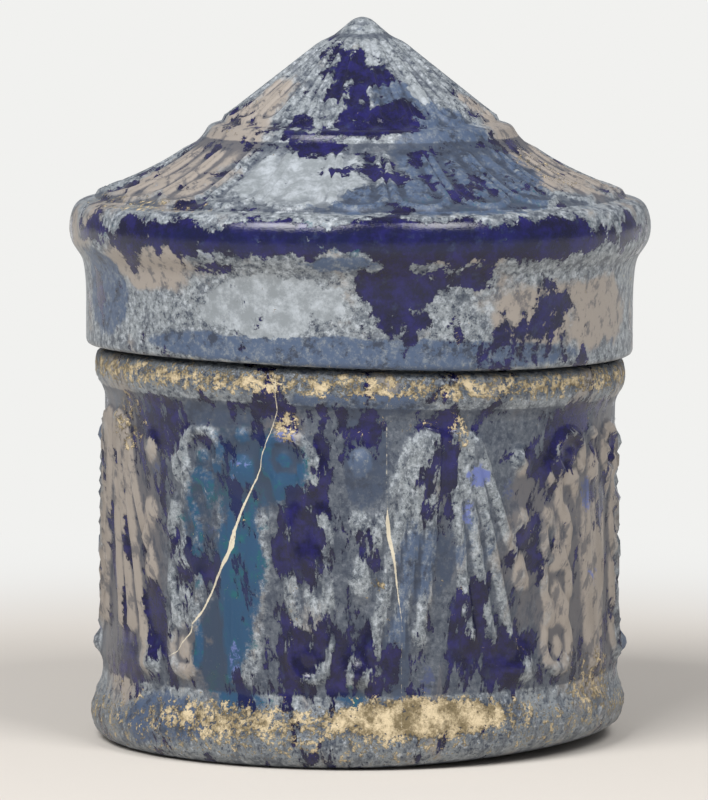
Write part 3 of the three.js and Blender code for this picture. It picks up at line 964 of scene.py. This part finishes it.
def add_steps(tree, value, steps):
    """Adds the nodes of the sums and edges, in order, and keeps the output of each by its name."""
    for kind, name, first, second, third in steps:
        if kind == "sum":
            inputs = {0: value[first], 1: value.get(second, second), 2: value.get(third, third)}
            node = add_node(tree, "ShaderNodeMath", inputs, operation="MULTIPLY_ADD")
        else:
            inputs = {"Value": value[first], "From Min": second, "From Max": third}
            node = add_node(tree, "ShaderNodeMapRange", inputs, interpolation_type="SMOOTHSTEP")
        value[name] = node.outputs[0]


print("sums and edges:", len(RAGGED_MASKS))

# %% [markdown]
# ## Layers of colour
# The finish is built up as the weathering was: the glass, then the skin with its films one over the
# other and painted shade in its grooves, then soil, the even film inside, and the fill of the cracks.
# Each stack starts from a colour and lays further colours, or earlier stacks, over it by a mask.

# %% Stacks of colour
STACKS = [
    (
        "cobalt",
        COBALT_DEEP,
        [("bright cobalt", COBALT), ("glowing cobalt", COBALT_GLOW), ("veil", SLATE_FILM)],
    ),
    ("slate skin", SLATE_FILM, [("slate speckle", GREY_FILM), ("slate clouds", DARK_FILM_AND_GROOVE_SHADE)]),
    ("teal skin", TEAL_FILM, [("emerald clouds", EMERALD_FILM), ("teal speckle", GREY_FILM)]),
    ("silver skin", GREY_FILM, [("light clouds", SILVER_FILM)]),
    (
        "skin",
        STEEL_FILM,
        [
            ("grey clouds", GREY_FILM),
            ("pale speckle", SILVER_FILM),
            ("dark speckle", DARK_FILM_AND_GROOVE_SHADE),
            ("tan film", TAN_FILM),
            ("dark streaks", DARK_FILM_AND_GROOVE_SHADE),
            ("slate film", "slate skin"),
            ("teal film", "teal skin"),
            ("silver film", "silver skin"),
            ("violet film", VIOLET_FILM),
            # painted shade: the grooves of the relief get the dark film colour
            ("painted groove shade", DARK_FILM_AND_GROOVE_SHADE),
        ],
    ),
    ("crumbs", BROWN_SOIL, [("cream clouds", CREAM_SOIL)]),
    ("inner skin", DARK_FILM_AND_GROOVE_SHADE, [("light clouds", GREY_FILM)]),
    (
        "surface",
        "cobalt",
        [
            ("film", "skin"),
            ("flake edge", DARK_FILM_AND_GROOVE_SHADE),
            ("soil cover", "crumbs"),
            ("even inside", "inner skin"),
            ("crack fill", CRACK_FILL),
        ],
    ),
]


def add_stacks(tree, value):
    """Adds the nodes of the stacks and returns the colour of the surface."""
    colours = {}
    for name, base, layers in STACKS:
        colour = colours[base] if base in colours else linear(base)
        for mask, over in layers:
            over = colours[over] if over in colours else linear(over)
            inputs = {0: value[mask], 6: colour, 7: over}
            colour = add_node(tree, "ShaderNodeMix", inputs, data_type="RGBA").outputs[2]
        colours[name] = colour
    return colours["surface"]


print("stacks of colour:", [name for name, _, _ in STACKS])

# %% [markdown]
# ## The material
# Bare glass is smooth and glossy, a film is duller, and soil is matt, so the roughness follows the
# same masks. The bump gives a film an edge of 0.04 mm, and lets the grains of soil stand up by about
# 0.16 mm. Glass has an index of refraction of about 1.5.

# %% The weathered glass
GLASS_IOR = 1.5
BUMP_DEPTH = 0.16 * MM
GLOSS_AND_RISE = [
    ("sum", "film gloss", "film", 0.32, 0.05),
    ("sum", "speckled gloss", "speckle", 0.12, "film gloss"),
    ("sum", "gloss", "matt parts", 0.4, "speckled gloss"),
    ("sum", "rise of clouds", "clouds", 0.35, 0),
    ("sum", "rise of film", "film", 0.25, "rise of clouds"),
    ("sum", "rise of grains", "speckle", 2.0, 0),
    ("sum", "rise", "soil cover", "rise of grains", "rise of film"),
]


def weathered_cobalt_glass(name, flake_size):
    """Mould-blown cobalt glass with flaking weathering films. flake_size is in millimetres."""
    material = bpy.data.materials.new(name)
    material.use_nodes = True
    tree = material.node_tree
    tree.nodes.clear()
    value = read_masks_and_patterns(tree, flake_size)
    add_steps(tree, value, RAGGED_MASKS)
    matt_parts = {0: value["soil cover"], 1: value["crack fill"]}
    value["matt parts"] = add_node(tree, "ShaderNodeMath", matt_parts, operation="MAXIMUM").outputs[0]
    add_steps(tree, value, GLOSS_AND_RISE)
    bump_inputs = {"Height": value["rise"], "Distance": BUMP_DEPTH, "Strength": 1.0}
    glass_inputs = {
        "Base Color": add_stacks(tree, value),
        "Roughness": value["gloss"],
        "Normal": add_node(tree, "ShaderNodeBump", bump_inputs).outputs[0],
        "IOR": GLASS_IOR,
    }
    glass = add_node(tree, "ShaderNodeBsdfPrincipled", glass_inputs)
    add_node(tree, "ShaderNodeOutputMaterial", {"Surface": glass.outputs[0]})
    return material


# %% [markdown]
# Each piece gets its own material, because the flakes of the wall are smaller than those of the lid.

# %% Materials of both pieces
BOX_FLAKE_SIZE = 3.6
LID_FLAKE_SIZE = 4.6
for piece, name, flake_size in (
    (glass_box, "mould_blown_cobalt_glass_box", BOX_FLAKE_SIZE),
    (glass_lid, "mould_blown_cobalt_glass_lid", LID_FLAKE_SIZE),
):
    piece.data.materials.clear()
    piece.data.materials.append(weathered_cobalt_glass(name, flake_size))
    print(name, "has", len(piece.data.materials[0].node_tree.nodes), "nodes")

# %% [markdown]
# ## Riding on the bodies
# The lid lifts off, so each piece of glass moves with the body of its own solid and stands for it.

# %% Bodies
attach(glass_box, "box_body")
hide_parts("box")
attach(glass_lid, "lid_body")
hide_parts("lid")
print("two pieces ride on two bodies")

# %% [markdown]
# ## The table
# The object stands on pale paper that runs far out to every side. A curved backdrop would hide the
# object from behind, so the paper itself turns from warm and matt under the object to plain white
# further out, which looks the same from all sides and leaves no horizon.

# %% The paper
PAPER_SIZE = 8.0
bpy.ops.object.select_all(action="DESELECT")
bpy.ops.mesh.primitive_plane_add(size=PAPER_SIZE)
paper = bpy.context.object
paper.name = "paper"
print("the paper is", PAPER_SIZE, "m across")

# %% [markdown]
# The paper is matt, and it takes the object's shadow. Further out it is plain white, but only for
# the camera and for reflections, so that it adds no light to the object.

# %% The paper's finish
WARM_PAPER = "#d6d0c8"
FAR_PAPER = "#efefed"
WHITE = "#f1f1ef"
WARM_RADIUS = 0.08
WHITE_RADIUS = 0.19

paper_finish = bpy.data.materials.new("matt_paper")
paper_finish.use_nodes = True
tree = paper_finish.node_tree
tree.nodes.clear()
place = add_node(tree, "ShaderNodeTexCoord").outputs["Object"]
away = add_node(tree, "ShaderNodeVectorMath", {0: place}, operation="LENGTH").outputs["Value"]
reach = {"Value": away, "From Min": WARM_RADIUS, "From Max": WHITE_RADIUS}
share = add_node(tree, "ShaderNodeMapRange", reach, interpolation_type="SMOOTHSTEP").outputs[0]
tones = {0: share, 6: linear(WARM_PAPER), 7: linear(FAR_PAPER)}
tone = add_node(tree, "ShaderNodeMix", tones, data_type="RGBA").outputs[2]
matt = add_node(tree, "ShaderNodeBsdfDiffuse", {"Color": tone}).outputs[0]
glow = add_node(tree, "ShaderNodeEmission", {"Color": linear(WHITE), "Strength": 1.0}).outputs[0]
sight = add_node(tree, "ShaderNodeLightPath").outputs
rays = {0: sight["Is Camera Ray"], 1: sight["Is Glossy Ray"]}
seen = add_node(tree, "ShaderNodeMath", rays, operation="MAXIMUM").outputs[0]
rays = {0: seen, 1: sight["Is Transmission Ray"]}
seen = add_node(tree, "ShaderNodeMath", rays, operation="MAXIMUM").outputs[0]
white = add_node(tree, "ShaderNodeMath", {0: seen, 1: share}, operation="MULTIPLY").outputs[0]
sheet = add_node(tree, "ShaderNodeMixShader", {0: white, 1: matt, 2: glow})
add_node(tree, "ShaderNodeOutputMaterial", {"Surface": sheet.outputs[0]})
paper.data.materials.append(paper_finish)
print("the paper turns white", WHITE_RADIUS, "m away from the object")

# %% [markdown]
# ## Light
# Two soft boxes stand in front, left and right, and face the object from above. The left-hand one is
# wider and stronger, so the form turns softly from light to shade.

# %% Soft boxes
LAMP_TARGET = Vector((0, 0, 0.04))
LAMP_DISTANCE = 0.9
LAMP_RISE = 48
LAMP_HEIGHT = 0.36


def soft_box(name, turn, width, watts):
    """A rectangular lamp that faces the object, placed by its angle from the front."""
    data = bpy.data.lights.new(name, "AREA")
    data.shape = "RECTANGLE"
    data.size = width
    data.size_y = LAMP_HEIGHT
    data.energy = watts
    lamp = bpy.data.objects.new(name, data)
    bpy.context.scene.collection.objects.link(lamp)
    turn, rise = math.radians(turn), math.radians(LAMP_RISE)
    back = Vector((math.sin(turn) * math.cos(rise), -math.cos(turn) * math.cos(rise), math.sin(rise)))
    lamp.location = LAMP_TARGET + back * LAMP_DISTANCE
    lamp.rotation_euler = back.to_track_quat("Z", "Y").to_euler()


soft_box("left_box", turn=-33, width=0.5, watts=6.8)
soft_box("right_box", turn=38, width=0.3, watts=3.6)

# %% [markdown]
# The lamps alone leave the back dark. A plain, pale world colour lights the object from all round.

# %% The surroundings
ROOM_COLOUR = "#e9eaee"
ROOM_STRENGTH = 0.4
world = bpy.data.worlds.new("pale_room")
bpy.context.scene.world = world
world.use_nodes = True
surroundings = world.node_tree.nodes["Background"].inputs
surroundings["Color"].default_value = linear(ROOM_COLOUR)
surroundings["Strength"].default_value = ROOM_STRENGTH
print("the room has a strength of", ROOM_STRENGTH)

# %% [markdown]
# ## The camera
# A long lens far away keeps the sides of the box upright. The camera stands a little above the lid
# and looks down at the middle of the object. The Standard view transform shows colours as written.

# %% The camera
CAMERA_PLACE = (0, -0.69, 0.1)
AIM = Vector((-0.00063, 0, 0.0355))
SENSOR_MM = 36
LENS_MM = 294.8

camera_data = bpy.data.cameras.new("camera")
camera_data.sensor_width = SENSOR_MM
camera_data.lens = LENS_MM
camera_data.clip_start = 0.05
camera_data.clip_end = 20
camera = bpy.data.objects.new("camera", camera_data)
bpy.context.scene.collection.objects.link(camera)
camera.location = CAMERA_PLACE
camera.rotation_euler = (AIM - camera.location).to_track_quat("-Z", "Y").to_euler()
bpy.context.scene.camera = camera
bpy.context.scene.view_settings.view_transform = "Standard"
print("camera", round((AIM - camera.location).length, 3), "m away")
